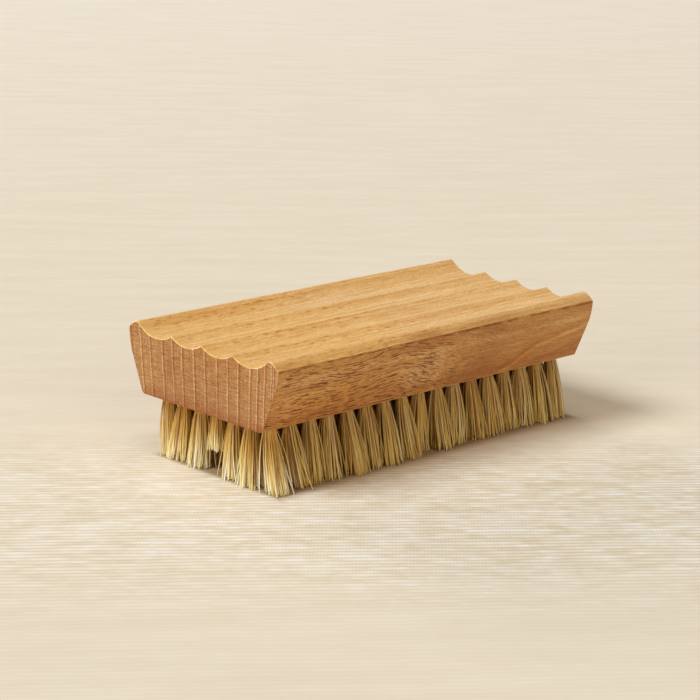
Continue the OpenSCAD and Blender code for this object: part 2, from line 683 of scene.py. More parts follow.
    arch: tuple[Span, ...] = (
        (18.0, 11.5), (21.3, 13.6), (24.7, 14.9), (26.7, 16.1), (29.0, 17.4), (31.0, 18.3),
        (33.3, 18.9), (36.7, 19.4), (40.0, 20.1), (43.3, 20.6), (46.7, 21.5), (49.0, 22.0),
    )
    arch_waver: Pattern = Pattern((4.0, 6.0, 3.0), by=0.6)
    arch_side_reach: Span = (-14.0, -17.0)
    arch_start_reach: Span = (19.0, 22.0)
    arch_pale: Colour = (1.16, 1.30, 1.42)
    arch_pale_reach: Span = (0.62, 0.2)
    arch_dark: Colour = (0.88, 0.78, 0.70)
    arch_dark_reaches: tuple[tuple[Span, Span], ...] = (
        ((-3.2, -3.9), (-5.6, -4.1)),
        ((0.4, 0.9), (3.4, 1.2)),
    )

    dashes: tuple[Spots, ...] = (
        Spots(0.09, 1.35, 0.09, 0.16, 0.05),
        Spots(0.13, 1.6, 0.08, 0.15, 0.1),
        Spots(0.30, 2.4, 0.12, 0.22, 0.25, strength=0.7),
        Spots(0.045, 1.0, 0.06, 0.11, 0.2),
    )
    strokes: tuple[Streak, ...] = (
        Streak(0.28, 3.4, 0.5, rises=(0.375, 0.315)),
        Streak(0.18, 2.9, 0.5, rises=(0.35, 0.295)),
    )
    ray: Colour = (0.35, 0.165, 0.095)
    # Painted highlight in a border round the dashes.
    ray_highlight: Colour = (1.04, 1.08, 1.18)
    ray_reach: Span = (20.0, -14.0)
    ray_show: Span = (0.25, 0.7)
    flecks: Spots = Spots(0.24, 1.9, 0.10, 0.29, 0.15)
    fleck: Colour = (0.70, 0.40, 0.22)
    fleck_height_reach: Span = (26.3, 26.8)
    fleck_facing: Span = (0.15, 0.4)
    fleck_reach: Span = (12.0, -10.0)
    fleck_show: Span = (0.12, 0.5)

    torn: Colour = (0.74, 0.42, 0.28)
    torn_reaches: tuple[tuple[Span, Span], ...] = (
        ((16.6, 13.9), (0.51, 0.57)),
        ((13.95, 13.65), (0.42, 0.52)),
    )
    wear: Colour = (1.20, 1.26, 1.30)
    wear_places: Pattern = Pattern((4.0, 1.5, 4.0), 3.0, rises=(0.38, 0.58))
    wear_reach: Span = (23.0, 25.0)
    scuff: Colour = (1.12, 1.32, 1.62)
    scuffs: Pattern = Pattern((5.0, 0.26, 0.8), 3.0, 0.7, (0.52, 0.62))
    scuff_reach: Span = (-6.0, -17.0)
    scuff_show: Span = (0.2, 0.75)
    # Painted shade along the crease of the long side.
    crease: Colour = (0.62, 0.45, 0.32)
    crease_shade_places: Pattern = Pattern((4.0, 9.0, 9.0), 3.0, rises=(0.42, 0.58))
    crease_shade_reach: Span = (26.35, 26.75)

    curl: Streak = Streak(0.6, 2.9, 3.0, 0.7, rises=(0.46, 0.55))
    curly: Blotch = Blotch((-3.0, -21.0, 19.0), (14.0, 7.0, 8.5), (1.14, 1.40, 1.75))
    blotches: tuple[Blotch, ...] = (
        Blotch((-6.0, -22.0, 28.0), (9.0, 1.6, 1.6), (0.80, 0.66, 0.50)),
        Blotch((13.0, -20.0, 15.5), (15.0, 4.0, 5.0), (0.84, 0.78, 0.74)),
        Blotch((0.0, 15.0, 27.0), (26.0, 6.0, 4.0), (1.0, 1.05, 1.25)),
        Blotch((36.0, -21.5, 24.5), (16.0, 4.0, 3.5), (0.98, 1.09, 1.24)),
        Blotch((14.0, -21.5, 20.0), (14.0, 5.0, 10.0), (0.88, 0.84, 0.86)),
        Blotch((15.5, -22.5, 26.5), (14.0, 4.0, 4.5), (0.85, 0.83, 0.80)),
        Blotch((-31.0, -20.5, 17.6), (24.0, 5.0, 9.5), (1.08, 1.08, 0.90)),
        Blotch((-31.0, -22.5, 26.0), (22.0, 4.0, 3.2), (1.10, 1.20, 1.16)),
        Blotch((-28.0, -22.0, 22.7), (24.0, 4.0, 2.8), (0.93, 0.88, 0.86)),
        Blotch((-4.0, -21.0, 18.8), (12.0, 5.0, 7.0), (0.99, 1.05, 1.28)),
        Blotch((-4.0, -20.0, 16.9), (10.0, 5.0, 3.2), (1.06, 1.10, 1.16)),
        Blotch((36.0, -21.0, 17.5), (16.0, 5.0, 7.0), (1.0, 0.98, 0.86)),
        Blotch((-30.0, -18.8, 13.8), (30.0, 4.0, 2.6), (0.86, 0.76, 0.68)),
        Blotch((-5.0, -22.5, 26.0), (12.0, 4.0, 2.6), (0.86, 0.80, 0.74)),
        Blotch((26.0, -21.0, 20.0), (24.0, 5.0, 9.0), (0.93, 0.88, 0.83)),
        Blotch((-47.5, 19.0, 20.0), (3.0, 9.0, 14.0), (1.08, 1.18, 1.24)),
        Blotch((-47.5, -3.0, 13.5), (3.0, 28.0, 8.0), (0.90, 0.89, 0.88)),
        Blotch((-47.5, -6.0, 26.5), (3.0, 20.0, 5.5), (1.0, 0.95, 0.80)),
    )
    roughness: Span = (0.42, 0.2)
    specular: float = 0.4
    pore_depth: float = 0.5
    relief: float = 0.012 * MM

    def material(self) -> bpy.types.Material:
        """Write the finish.

        Returns:
            The material.
        """
        r = Recipe("oiled_beech")
        at = self._survey(r)
        grain, broad, fine = (self._streak(r, at, one) for one in (self.grain, self.broad, self.fine))
        pores, posts, lines = (r.read(one) for one in (self.pores, self.posts, self.lines))
        rays, flecks, highlight_borders = self._rays(r, at)
        lively = r.rest(r.product(r.rise(at.x, *self.calm_reach), at.sides, self.calm_show))
        colour = self._tint(r, at)
        for share, stain in (
            (self._ring_share(r, at), self._rings(r, at)),
            (r.product(r.grow(r.rest(at.ends), *self.grain_show), lively), r.ramp(grain, self.grain_tones)),
            (self.broad_show, r.ramp(broad, self.broad_tones)),
            (r.product(r.grow(at.sides, *self.fine_show), lively), r.ramp(fine, self.fine_tones)),
            (r.grow(at.ends, *self.pore_show), r.ramp(pores, self.pore_tones)),
            (r.product(at.ends, self.post_show), r.ramp(posts, self.post_tones)),
            (r.product(at.ends, self.line_show), r.ramp(lines, self.line_tones)),
            (self._torn_share(r, at, lines), self.torn),
            (self._wear_share(r, at), self.wear),
            (self._scuff_share(r, at), self.scuff),
            # Painted shade along the crease of the long side.
            (self._crease_shade_share(r, at), self.crease),
            # Painted highlight in a border round the dashes.
            (self._ray_share(r, at, highlight_borders), self.ray_highlight),
            (self._ray_share(r, at, rays), self.ray),
            (self._fleck_share(r, at, flecks), self.fleck),
        ):
            colour = r.stain(share, colour, stain)
        height = r.less(r.total(grain, r.product(pores, self.pore_depth)), rays)
        return r.finish(colour, r.grow(grain, *self.roughness), self.specular, height, self.relief)

    def _survey(self, r: Recipe) -> WoodSpot:
        """Read where a point is and which way its surface faces.

        Args:
            r: the recipe.

        Returns:
            The point.
        """
        x, y, z = r.split(r.in_mm())
        wander = r.waver(self.wander)
        normal_x, normal_y, _ = r.split(r.places.outputs["Normal"])
        along, slope = r.size(normal_x), r.size(normal_y)
        ends = r.rise(along, *self.end_facing)
        sides = r.rise(slope, *self.side_facing)
        start, end = self.tilt_reach
        steady, early = self.tilt
        past = r.highest(x, start)
        tilt = r.total(r.product(past, steady), r.product(r.maths("MINIMUM", past, end), early))
        bent = r.total(r.product(wander, self.wander_up), r.waver(self.waver))
        wave = r.total(z, bent, r.product(tilt, sides))
        worn = r.maths("SUBTRACT", r.rise(along, *self.worn_facing), ends, clamp=True)
        return WoodSpot(x, y, z, wander, wave, ends, sides, worn, slope)

    @staticmethod
    def _streak(r: Recipe, at: WoodSpot, streak: Streak) -> Socket:
        """Read a pattern that is drawn out along the grain.

        Args:
            r: the recipe.
            at: the point.
            streak: the pattern.

        Returns:
            A number around 0.5.
        """
        wave = at.wave
        if streak.slant:
            wave = r.total(wave, r.product(at.x, streak.slant, at.sides))
        place = r.join(
            r.product(at.x, streak.along), r.product(at.y, streak.across), r.product(wave, streak.across)
        )
        return r.noise(place, streak.detail, streak.rough)

    def _rings(self, r: Recipe, at: WoodSpot) -> Socket:
        """Draw the growth rings.

        Args:
            r: the recipe.
            at: the point.

        Returns:
            A colour to stain the wood with.
        """
        lean = r.product(r.less(at.y, self.ring_pivot), self.ring_tilt)
        shift = r.product(lean, r.less(at.z, self.ring_middle))
        place = r.total(r.less(at.y, shift), r.waver(self.ring_wobble))
        count = len(self.rings) - 1
        points: list[Span] = []
        for number, (line, following) in enumerate(zip(self.rings, self.rings[1:])):
            band = min(self.ring_width, self.ring_width_of_year * (line - following))
            points += [(-line, number / count), (band - line, (number + self.ring_turn) / count)]
        points.append((-self.rings[-1], 1.0))
        turns = r.curve(r.product(place, -1.0), -self.rings[0], -self.rings[-1], points)
        return r.ramp(r.maths("FRACT", r.product(turns, float(count))), self.ring_tones)

    def _ring_share(self, r: Recipe, at: WoodSpot) -> Socket:
        """Set how strongly the growth rings show: some years more than others, most on the ends."""
        return r.product(r.grow(at.ends, *self.ring_show), r.grow(r.patches(self.years), *self.year_show))

    def _rays(self, r: Recipe, at: WoodSpot) -> tuple[Socket, Socket, Socket]:
        """Scatter the rays: dashes and strokes on the sides, and flecks on the flanks of the flutes.

        Args:
            r: the recipe.
            at: the point.

        Returns:
            Dashes and strokes, flecks, and the dashes with a border round them, where a highlight is
            painted: 0 outside, and up to 1 in them.
        """
        layers = [r.speckle(at.x, at.wave, spots) for spots in self.dashes]
        dashes, highlight_borders = (r.highest(*layer) for layer in zip(*layers))
        flecks, _ = r.speckle(at.x, at.wave, self.flecks)
        strokes = (r.rise(self._streak(r, at, streak), *streak.rises) for streak in self.strokes)
        return r.highest(dashes, *strokes), flecks, highlight_borders

    def _ray_share(self, r: Recipe, at: WoodSpot, rays: Socket) -> Socket:
        """Set how strongly the dashes and strokes show on the sides: most at the near end."""
        return r.product(rays, r.grow(r.rise(at.x, *self.ray_reach), *self.ray_show), at.sides)

    def _fleck_share(self, r: Recipe, at: WoodSpot, flecks: Socket) -> Socket:
        """Set how strongly the flecks show on the top: near the ridges, and most at the near end.

        Args:
            r: the recipe.
            at: the point.
            flecks: the flecks.

        Returns:
            Share of the fleck colour, from 0 to 1.
        """
        high = r.product(r.rise(at.z, *self.fleck_height_reach), r.rise(at.slope, *self.fleck_facing))
        strength = r.grow(r.rise(at.x, *self.fleck_reach), *self.fleck_show)
        return r.product(flecks, strength, high, r.rest(r.total(at.ends, at.sides)))

    def _torn_share(self, r: Recipe, at: WoodSpot, lines: Socket) -> Socket:
        """Set where the saw tore the bottom edge of the ends into rough, reddish streaks.

        Args:
            r: the recipe.
            at: the point.
            lines: the fine level lines of the ends.

        Returns:
            Share of the torn wood's colour, from 0 to 1.
        """
        tears = (
            r.product(r.rise(at.z, *heights), r.rise(lines, *strengths))
            for heights, strengths in self.torn_reaches
        )
        return r.product(r.highest(*tears), at.ends)

    def _wear_share(self, r: Recipe, at: WoodSpot) -> Socket:
        """Set where the rims of the ends are rubbed pale: in places along the top edge."""
        return r.product(at.worn, r.patches(self.wear_places), r.rise(at.z, *self.wear_reach))

    def _scuff_share(self, r: Recipe, at: WoodSpot) -> Socket:
        """Set where the end is scuffed whitish: in specks, most towards the near corner."""
        corner = r.grow(r.rise(at.y, *self.scuff_reach), *self.scuff_show)
        return r.product(r.patches(self.scuffs), corner, at.ends)

    def _crease_shade_share(self, r: Recipe, at: WoodSpot) -> Socket:
        """Set where painted shade darkens the crease of the long side, in patches."""
        return r.product(r.rise(at.z, *self.crease_shade_reach), at.sides, r.patches(self.crease_shade_places))

    def _arch(self, r: Recipe, at: WoodSpot, side: Socket) -> Socket:
        """Draw the one ring that comes out on the near long side: a pale arch with dark bands by it.

        Args:
            r: the recipe.
            at: the point.
            side: the colour of the side.

        Returns:
            The colour with the arch.
        """
        (first, lowest), (last, highest) = self.arch[0], self.arch[-1]
        shares = [(x, (z - lowest) / (highest - lowest)) for x, z in self.arch]
        line = r.grow(r.curve(at.x, first, last, shares), lowest, highest - lowest)
        above = r.total(r.less(at.z, line), r.waver(self.arch_waver))
        here = r.product(r.rise(at.y, *self.arch_side_reach), r.rise(at.x, *self.arch_start_reach))
        bands = (
            r.product(r.rise(above, *inner), r.rise(above, *outer))
            for inner, outer in self.arch_dark_reaches
        )
        side = r.stain(r.product(r.highest(*bands), here), side, self.arch_dark)
        pale = r.rise(r.size(above), *self.arch_pale_reach)
        return r.stain(r.product(pale, here), side, self.arch_pale)

    def _tint(self, r: Recipe, at: WoodSpot) -> Socket:
        """Lay the broad colours: golden to pale on the top, orange brown sides, tan ends, with painted
        shade on the flute walls, the near bevel and the foot of the sides.

        Args:
            r: the recipe.
            at: the point.

        Returns:
            The colour.
        """
        drift = r.total(at.x, r.product(at.wander, self.border_wander))
        border = r.less(drift, r.product(at.y, self.border_slant))
        top = r.mix(r.rise(border, *self.golden_reach), self.golden, self.pale)
        # Painted shade on the sloping walls of the flutes.
        top = r.stain(r.rise(at.slope, *self.flank_shade_facing), top, self.flank_shade)
        # Painted shade on the bevel along the near long side.
        top = r.stain(r.rise(at.y, *self.bevel_shade_reach), top, self.bevel)
        side = r.mix(r.patches(self.figure), self.side, self.side_pale)
        # Painted shade, darker towards the bottom of the long sides.
        side = r.stain(r.rise(at.z, *self.foot_shade_reach), side, self.foot)
        side = self._arch(r, at, side)
        curls = r.rise(self._streak(r, at, self.curl), *self.curl.rises)
        curls = r.product(r.patch(self.curly.centre, self.curly.reach), curls)
        side = r.stain(curls, side, self.curly.stain)
        end = r.highest(at.ends, r.product(at.worn, r.rise(at.z, *self.end_rim_reach)))
        colour = r.mix(end, r.mix(at.sides, top, side), self.end)
        for blotch in self.blotches:
            colour = r.stain(r.patch(blotch.centre, blotch.reach), colour, blotch.stain)
        return colour


@dataclass(frozen=True)
class Bristle:
    """Natural bristle: straw blond, with some whitish, reddish and near-black fibres.

    Each fibre carries two numbers on its mesh: its own tone, and how far along it a point is.
    Painted shade darkens the roots and tips of the tufts, and the tufts inside the brush; at the
    near end the roots take a shade of their own, and painted light makes the tips paler. A field
    that ends in reach holds where a thing starts and where it is full, in millimetres or as a part
    of the fibre's length.
    """

    tone_name: str = "fibre_tone"
    along_name: str = "fibre_along"
    palette: Ramp = (
        (0.0, (0.02, 0.014, 0.008)),
        (0.016, (0.05, 0.03, 0.015)),
        (0.02, (0.34, 0.14, 0.04)),
        (0.08, (0.55, 0.30, 0.09)),
        (0.085, (0.79, 0.54, 0.15)),
        (0.45, (0.89, 0.685, 0.23)),
        (0.85, (0.93, 0.77, 0.33)),
        (0.955, (0.94, 0.84, 0.48)),
        (1.0, (0.95, 0.90, 0.71)),
    )
    # Painted shade at the roots of the tufts, with its own colour at the near end.
    root_shade: Colour = (0.66, 0.52, 0.40)
    near_root_shade: Colour = (0.72, 0.54, 0.35)
    # Painted shade at the tips of the tufts, and painted light on the tips of the near end's tufts.
    tip_shade: Colour = (0.92, 0.84, 0.72)
    near_tip_light: Colour = (1.16, 1.27, 1.84)
    near_reach: Span = (-36.0, -40.5)
    near_tip_reach: Span = (0.4, 1.0)
    tip_reach: Span = (0.15, 0.85)
    # Painted shade on the tufts inside the brush.
    inner_shade: Colour = (0.74, 0.50, 0.36)
    inner_shade_reaches: tuple[Span, Span, Span] = ((40.6, 38.8), (13.6, 12.0), (0.3, 1.8))
    mottle: Pattern = Pattern((1.4, 1.4, 3.0), 3.0, 0.6)
    mottle_tones: Ramp = ((0.3, (0.86, 0.83, 0.78)), (0.65, (1.06, 1.06, 1.06)))
    mottle_show: float = 0.8
    ribs: Pattern = Pattern((0.11, 0.11, 1.2))
    relief: float = 0.01 * MM
    roughness: Span = (0.32, 0.25)
    specular: float = 0.3

    def material(self) -> bpy.types.Material:
        """Write the finish.

        Returns:
            The material.
        """
        r = Recipe("natural_bristle")
        along = r.attribute(self.along_name)
        mottle = r.read(self.mottle)
        x, y, z = r.split(r.in_mm())
        near = r.rise(x, *self.near_reach)
        # Painted shade at the roots of the tufts.
        root = r.mix(near, self.root_shade, self.near_root_shade)
        # Painted light on the tips of the near end's tufts; the other tips take painted shade.
        lit_near_tips = r.product(near, r.rise(along, *self.near_tip_reach))
        tip = r.mix(lit_near_tips, self.tip_shade, self.near_tip_light)
        colour = r.ramp(r.attribute(self.tone_name), self.palette)
        colour = r.stain(1.0, colour, r.mix(r.rise(along, *self.tip_reach), root, tip))
        # Painted shade on the tufts inside the brush, which the outer tufts shade.
        depths = zip((r.size(x), r.size(y), z), self.inner_shade_reaches)
        inside = (r.rise(value, *reach) for value, reach in depths)
        colour = r.stain(r.product(*inside), colour, self.inner_shade)
        colour = r.stain(self.mottle_show, colour, r.ramp(mottle, self.mottle_tones))
        rough, ribs = r.grow(mottle, *self.roughness), r.read(self.ribs)
        return r.finish(colour, rough, self.specular, ribs, self.relief)


@dataclass(frozen=True)
class AnchorWire:
    """Flat drawn brass wire, lightly tarnished."""

    bright: Colour = (0.83, 0.62, 0.27)
    tarnish: Colour = (0.46, 0.3, 0.12)
    clouds: Pattern = Pattern((1.1, 1.1, 1.1), 4.0, 0.6, (0.5, 0.75))
    lines: Pattern = Pattern((0.08, 2.0, 0.08))
    relief: float = 0.01 * MM
    roughness: Span = (0.24, 0.25)
    specular: float = 0.5

    def material(self) -> bpy.types.Material:
        """Write the finish.

        Returns:
            The material.
        """
        r = Recipe("anchor_wire")
        lines = r.read(self.lines)
        colour = r.mix(r.patches(self.clouds), self.bright, self.tarnish)
        r.feed(r.shader.inputs["Metallic"], 1.0)
        return r.finish(colour, r.grow(lines, *self.roughness), self.specular, lines, self.relief)


@dataclass(frozen=True)
class FloorCloth:
    """Plain cream floor cloth, with a faint weave that runs across the picture.

    The weave is sharp in a band in front of the brush and blurs away from it. Painted shadow
    darkens the cloth under and right round the bristles, painted light makes it paler far off, and
    it has soft hazy patches. Lengths are in millimetres; a field that ends in reach holds where a
    thing starts and where it is full.
    """

    turn: float = math.radians(-38.3)
    row: float = 1.65
    row_shift: float = 3.7
    row_ripple: Pattern = Pattern((30.0, 20.0, 1.0), 1.0)
    slub: float = 7.0
    slub_detail: float = 2.0
    slub_rough: float = 0.6
    slub_share: float = 0.8
    loose: Pattern = Pattern((3.0, 0.9, 1.0), rough=0.6)
    weave: Ramp = (
        (0.36, (0.78, 0.68, 0.515)),
        (0.47, (0.845, 0.765, 0.62)),
        (0.54, (0.875, 0.805, 0.685)),
        (0.64, (0.935, 0.89, 0.81)),
    )
    stitch: float = 0.67
    groove: Colour = (0.83, 0.77, 0.65)
    notch: Colour = (0.96, 0.95, 0.925)
    gap_reach: Span = (-0.2, 1.0)
    focus: float = -52.0
    focus_reach: Span = (64.0, 12.0)
    level_reach: Span = (-60.0, 0.0)
    level_show: Span = (0.8, 0.2)
    sharp_show: Span = (0.12, 0.88)
    blurred: Colour = (0.80, 0.705, 0.55)
    haze: Pattern = Pattern((45.0, 7.0, 1.0), 3.0)
    haze_tones: Ramp = ((0.36, (0.98, 0.976, 0.966)), (0.64, (1.018, 1.021, 1.028)))
    # Painted shadow on the cloth under and right round the bristles.
    contact_shadow: Colour = (0.50, 0.38, 0.25)
    contact_end: float = 44.0
    contact_end_slope: float = 2.2
    contact_sides: Span = (-19.0, 14.0)
    contact_reach: Span = (5.0, 0.0)
    # Painted light that makes the cloth paler far off.
    painted_far_light: Colour = (1.13, 1.17, 1.25)
    far_reach: Span = (-100.0, 1100.0)
    roughness: float = 0.85
    specular: float = 0.15

    def material(self) -> bpy.types.Material:
        """Write the finish.

        Returns:
            The material.
        """
        r = Recipe("cream_floor")
        level, back, _ = r.split(r.in_mm(turn=self.turn))
        rows = r.total(r.maths("DIVIDE", back, self.row), r.read(self.row_ripple, self.turn))
        thread = r.product(r.maths("FLOOR", rows), self.row_shift)
        colour = self._weave(r, level, rows, thread)
        sharp = r.rise(r.size(r.less(back, self.focus)), *self.focus_reach)
        sharp = r.product(sharp, r.grow(r.rise(level, *self.level_reach), *self.level_show))
        colour = r.mix(r.grow(sharp, *self.sharp_show), self.blurred, colour)
        colour = r.stain(1.0, colour, r.ramp(r.read(self.haze, self.turn), self.haze_tones))
        # Painted shadow on the cloth under and right round the bristles.
        colour = r.stain(self._contact_shadow_share(r), colour, self.contact_shadow)
        # Painted light that makes the cloth paler far off.
        colour = r.stain(r.rise(back, *self.far_reach), colour, self.painted_far_light)
        return r.finish(colour, self.roughness, self.specular)

    def _weave(self, r: Recipe, level: Socket, rows: Socket, thread: Socket) -> Socket:
        """Draw the weave: rows of uneven yarn, with grooves between them and notches along them.

        Args:
            r: the recipe.
            level: place along the rows, in millimetres.
            rows: place across them, in rows.
            thread: a number that differs from row to row.

        Returns:
            The colour of the weave where it is sharp.
        """
        yarn = r.join(r.maths("DIVIDE", level, self.slub), thread, 0.0)
        slubs = r.product(r.noise(yarn, self.slub_detail, self.slub_rough), self.slub_share)
        loose = r.product(r.read(self.loose, self.turn), 1 - self.slub_share)
        colour = r.ramp(r.total(slubs, loose), self.weave)
        stitches = r.total(r.maths("DIVIDE", level, self.stitch), thread)
        for turns, stain in ((rows, self.groove), (stitches, self.notch)):
            swing = r.maths("COSINE", r.product(turns, 2 * math.pi))
            colour = r.stain(r.rise(swing, *self.gap_reach), colour, stain)
        return colour

    def _contact_shadow_share(self, r: Recipe) -> Socket:
        """Set where painted shadow darkens the cloth under and right round the bristles.

        Args:
            r: the recipe.

        Returns:
            Share of the painted shadow's colour, from 0 to 1.
        """
        x, y, _ = r.split(r.in_mm())
        front, rear = self.contact_sides
        beside = r.product(r.less(r.size(x), self.contact_end), self.contact_end_slope)
        return r.rise(r.highest(beside, r.less(front, y), r.less(y, rear)), *self.contact_reach)


@dataclass(frozen=True)
class Section:
    """Cross-section of the block, the same all along its length."""

    length: float = 95.0 * MM
    underside: float = 13.4 * MM
    thickness: float = 15.1 * MM
    width: float = 46.0 * MM
    side_lean: float = math.radians(23.0)
    belly_radius: float = 14.0 * MM
    foot_radius: float = 0.9 * MM
    bevel_width: float = 2.3 * MM
    bevel_height: float = 1.6 * MM
    crown_radius: float = 6.0 * MM
    foot_steps: int = 5
    belly_steps: int = 9
    crown_steps: int = 6

    @property
    def top(self) -> float:
        """Height of the lands."""
        return self.underside + self.thickness

    @property
    def crease(self) -> float:
        """Height of the creases, where the block is widest."""
        return self.top - self.bevel_height

    @property
    def land_edge(self) -> float:
        """Half the width of the top, inside the bevels."""
        return self.width / 2 - self.bevel_width

    @property
    def belly_foot(self) -> tuple[float, float]:
        """Half width and height where the belly goes over into the straight side."""
        half = self.width / 2 - self.belly_radius * (1 - math.cos(self.side_lean))
        return half, self.crease - self.belly_radius * math.sin(self.side_lean)

    @property
    def underside_edge(self) -> float:
        """Half width where the straight sides would meet the underside."""
        half, height = self.belly_foot
        return half - (height - self.underside) * math.tan(self.side_lean)

    @property
    def foot_centre(self) -> float:
        """Half width at the centre of the rounding of the underside's long edges."""
        lean = self.side_lean
        return self.underside_edge + self.foot_radius * (math.tan(lean) - 1 / math.cos(lean))

    @staticmethod
    def _arc(
        centre: tuple[float, float], radius: float, start: float, end: float, steps: int
    ) -> list[tuple[float, float]]:
        """List the points of an arc.

        Args:
            centre: half width and height of the centre.
            radius: the arc's radius.
            start: angle of the first point above level, in radians.
            end: angle of the last point.
            steps: how many chords the arc has.

        Returns:
            Half width and height of each point.
        """
        angles = [start + (end - start) * step / steps for step in range(steps + 1)]
        return [(centre[0] + radius * math.cos(a), centre[1] + radius * math.sin(a)) for a in angles]

    def rings(self) -> list[tuple[float, float]]:
        """List the level rings round the block, from the underside to the lands.

        Returns:
            Half width and height of each ring.
        """
        foot = (self.foot_centre, self.underside + self.foot_radius)
        belly = (self.width / 2 - self.belly_radius, self.crease)
        chord = Vector((self.bevel_width, self.bevel_height))
        reach = math.sqrt(self.crown_radius**2 - (chord.length / 2) ** 2) / chord.length
        crown = (
            (self.width / 2 + self.land_edge) / 2 - reach * self.bevel_height,
            (self.crease + self.top) / 2 - reach * self.bevel_width,
        )
        low = math.atan2(self.crease - crown[1], self.width / 2 - crown[0])
        high = math.atan2(self.top - crown[1], self.land_edge - crown[0])
        quarter = math.pi / 2
        return [
            *self._arc(foot, self.foot_radius, -quarter, -self.side_lean, self.foot_steps),
            *self._arc(belly, self.belly_radius, -self.side_lean, 0.0, self.belly_steps),
            *self._arc(crown, self.crown_radius, low, high, self.crown_steps)[1:],
        ]


@dataclass(frozen=True)
class Flutes:
    """The long flutes in the top, all cut with one round cutter."""

    count: int = 4
    radius: float = 8.4 * MM
    depth: float = 2.45 * MM
    land: float = 0.65 * MM
    facets: int = 116

    def centres(self, section: Section) -> list[tuple[float, float]]:
        """Find the cutter's passes.

        Args:
            section: the block's cross-section.

        Returns:
            The y and z of the cutter's axis in each pass.
        """
        half = math.sqrt(2 * self.radius * self.depth - self.depth**2)
        outer = section.land_edge - self.land - half
        pitch = 2 * outer / (self.count - 1)
        height = section.top - self.depth + self.radius
        return [(number * pitch - outer, height) for number in range(self.count)]


@dataclass(frozen=True)
class TuftGrid:
    """The grid of holes in the underside, and the fan of the tufts in them."""

    columns: int = 17
    rows: int = 7
    end_margin: float = 4.85 * MM
    side_margin: float = 3.0 * MM
    row_lean: float = math.radians(9.0)
    column_lean: float = math.radians(2.0)
    hole_radius: float = 1.4 * MM
    hole_depth: float = 8.0 * MM
    bristle_length: float = 13.4 * MM
    short_rise: float = 4.6 * MM
    section: Section = field(default_factory=Section)

    @property
    def reach_x(self) -> float:
        """Distance of the end columns from the middle."""
        return self.section.length / 2 - self.end_margin

    @property
    def reach_y(self) -> float:
        """Distance of the outer rows from the middle."""
        return self.section.underside_edge - self.side_margin

    def mouth(self, column: int, row: int) -> Vector:
        """Find the middle of a hole's mouth.

        Args:
            column: number of the column, from 0 at the near end.
            row: number of the row, from 0 at -y.

        Returns:
            The point, in the plane of the underside.
        """
        x = self.reach_x * (2 * column / (self.columns - 1) - 1)
        y = self.reach_y * (2 * row / (self.rows - 1) - 1)
        return Vector((x, y, self.section.underside))

    def leans(self, column: int, row: int) -> tuple[float, float]:
        """Find how far a hole leans outwards.

        Args:
            column: number of the column.
            row: number of the row.

        Returns:
            The lean along x and along y, in radians.
        """
        mouth = self.mouth(column, row)
        return self.column_lean * mouth.x / self.reach_x, self.row_lean * mouth.y / self.reach_y

    def free_length(self, column: int, row: int) -> float:
        """Find how far below the underside a tuft reaches.

        Args:
            column: number of the column.
            row: number of the row.

        Returns:
            The length, less for the one short tuft.
        """
        short = column == 0 and row == self.rows // 2
        return self.bristle_length - (self.short_rise if short else 0.0)

    def hole_frame(self, column: int, row: int) -> Matrix:
        """Find the frame of a hole, with z along it and into the wood.

        Args:
            column: number of the column.
            row: number of the row.

        Returns:
            The matrix from that frame to the brush's.
        """
        lean_x, lean_y = self.leans(column, row)
        turn = Matrix.Rotation(-lean_x, 4, "Y") @ Matrix.Rotation(lean_y, 4, "X")
        return Matrix.Translation(self.mouth(column, row)) @ turn


